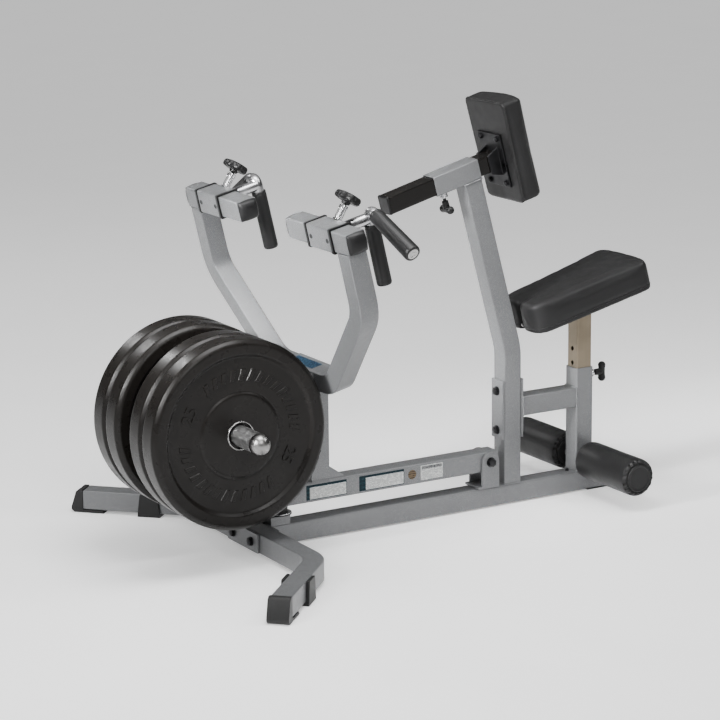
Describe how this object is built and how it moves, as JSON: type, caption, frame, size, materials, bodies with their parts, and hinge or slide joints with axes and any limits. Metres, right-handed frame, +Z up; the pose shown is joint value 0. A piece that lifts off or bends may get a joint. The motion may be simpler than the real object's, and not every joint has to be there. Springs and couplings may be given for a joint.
{
  "type": "seated row machine",
  "caption": "Plate-loaded seated row machine: pivoting lever with weight horns, leaning yoke, sliding twin-grip handles, chest pad, saddle seat and foam foot rollers on a steel base.",
  "frame": {"origin": "centre of the overall bounding box in X and Y, on the floor", "axes": "+X from the weight plates to the seat, +Y the machine's left when seen from the plates, +Z up"},
  "size_m": [1.4459, 1.0932, 1.0392],
  "materials": {
    "frame_paint": "satin",
    "black_chrome": "gloss",
    "satin_nickel": "satin",
    "chrome": "gloss",
    "zinc": "satin",
    "black_steel": "satin",
    "plate_rubber": "matte",
    "black_rubber": "matte",
    "black_plastic": "satin",
    "vinyl": "grained"
  },
  "bodies": {
    "base": {"base_rail": "frame_paint", "front_stabiliser": "frame_paint", "stabiliser_joint_plate": "frame_paint", "joint_bolt_left": "black_steel", "joint_bolt_right": "black_steel", "leg_boot_left": "black_rubber", "leg_boot_right": "black_rubber", "strap_foot_left": "black_rubber", "strap_foot_right": "black_rubber", "rear_foot_pad": "black_rubber", "lever_bumper": "black_rubber", "mast": "frame_paint", "mast_front_plate": "frame_paint", "mast_bolt_upper": "black_steel", "mast_bolt_lower": "black_steel", "cross_link": "frame_paint", "seat_sleeve": "frame_paint", "chest_sleeve": "frame_paint", "roller_bar": "zinc", "pivot_clevis": "frame_paint", "pivot_bolt": "black_steel"},
    "lever": {"lever_tube": "frame_paint", "lever_post": "frame_paint", "horn_arm": "frame_paint", "weight_horn_left": "zinc", "weight_horn_right": "zinc", "yoke": "frame_paint", "yoke_saddle": "frame_paint", "crossbar_left": "frame_paint", "crossbar_right": "frame_paint", "crossbar_plug_outer_left": "black_plastic", "crossbar_plug_outer_right": "black_plastic", "crossbar_plug_inner_left": "black_plastic", "crossbar_plug_inner_right": "black_plastic"},
    "plates_left": {"inner_plate_left": "plate_rubber", "outer_plate_left": "plate_rubber"},
    "plates_right": {"inner_plate_right": "plate_rubber", "outer_plate_right": "plate_rubber"},
    "chest_carriage": {"chest_slide_tube": "black_chrome", "slide_tube_cap": "black_plastic", "pad_bracket": "black_steel", "chest_pad": "vinyl"},
    "chest_pin": {"chest_lock_pin": "black_plastic"},
    "seat_carriage": {"seat_post": "satin_nickel", "seat_cushion": "vinyl"},
    "seat_pin": {"seat_lock_pin": "black_plastic"},
    "roller_left": {"foam_roller_left": "vinyl"},
    "roller_right": {"foam_roller_right": "vinyl"},
    "handle_left": {"handle_liner_left": "black_plastic", "handle_sleeve_left": "frame_paint", "handle_tube_left": "chrome", "upright_grip_left": "black_rubber", "outward_grip_left": "black_rubber"},
    "handle_pin_left": {"handle_lock_pin_left": "black_plastic"},
    "handle_right": {"handle_liner_right": "black_plastic", "handle_sleeve_right": "frame_paint", "handle_tube_right": "chrome", "upright_grip_right": "black_rubber", "outward_grip_right": "black_rubber"},
    "handle_pin_right": {"handle_lock_pin_right": "black_plastic"}
  },
  "joints": [
    {"name": "lever_pivot", "type": "hinge", "parent": "base", "child": "lever", "pos_m": [0.2686, 0, 0.12], "axis": [0, 1, 0], "range_deg": [0, 42]},
    {"name": "plates_left_slide", "type": "slide", "parent": "lever", "child": "plates_left", "axis": [0, 1, 0], "range_m": [0, 0.095]},
    {"name": "plates_right_slide", "type": "slide", "parent": "lever", "child": "plates_right", "axis": [0, -1, 0], "range_m": [0, 0.095]},
    {"name": "handle_left_slide", "type": "slide", "parent": "lever", "child": "handle_left", "axis": [0, -1, 0], "range_m": [-0.004, 0.075]},
    {"name": "handle_right_slide", "type": "slide", "parent": "lever", "child": "handle_right", "axis": [0, 1, 0], "range_m": [-0.004, 0.075]},
    {"name": "handle_left_pin_pull", "type": "slide", "parent": "handle_left", "child": "handle_pin_left", "axis": [0.5299, 0, 0.848], "range_m": [0, 0.01], "stiffness_N_per_m": 600, "springref_m": -0.02},
    {"name": "handle_right_pin_pull", "type": "slide", "parent": "handle_right", "child": "handle_pin_right", "axis": [0.5299, 0, 0.848], "range_m": [0, 0.01], "stiffness_N_per_m": 600, "springref_m": -0.02},
    {"name": "chest_pad_slide", "type": "slide", "parent": "base", "child": "chest_carriage", "axis": [0.9659, 0, 0.2588], "range_m": [-0.025, 0.1]},
    {"name": "chest_pin_pull", "type": "slide", "parent": "base", "child": "chest_pin", "axis": [0.2588, 0, -0.9659], "range_m": [0, 0.01], "stiffness_N_per_m": 600, "springref_m": -0.02},
    {"name": "seat_height_slide", "type": "slide", "parent": "base", "child": "seat_carriage", "axis": [0, 0, 1], "range_m": [-0.074, 0.074]},
    {"name": "seat_pin_pull", "type": "slide", "parent": "base", "child": "seat_pin", "axis": [1, 0, 0], "range_m": [0, 0.01], "stiffness_N_per_m": 600, "springref_m": -0.02},
    {"name": "roller_left_spin", "type": "hinge", "parent": "base", "child": "roller_left", "pos_m": [0.5572, 0.15, 0.088], "axis": [0, 1, 0], "continuous": true},
    {"name": "roller_right_spin", "type": "hinge", "parent": "base", "child": "roller_right", "pos_m": [0.5572, -0.15, 0.088], "axis": [0, 1, 0], "continuous": true}
  ]
}
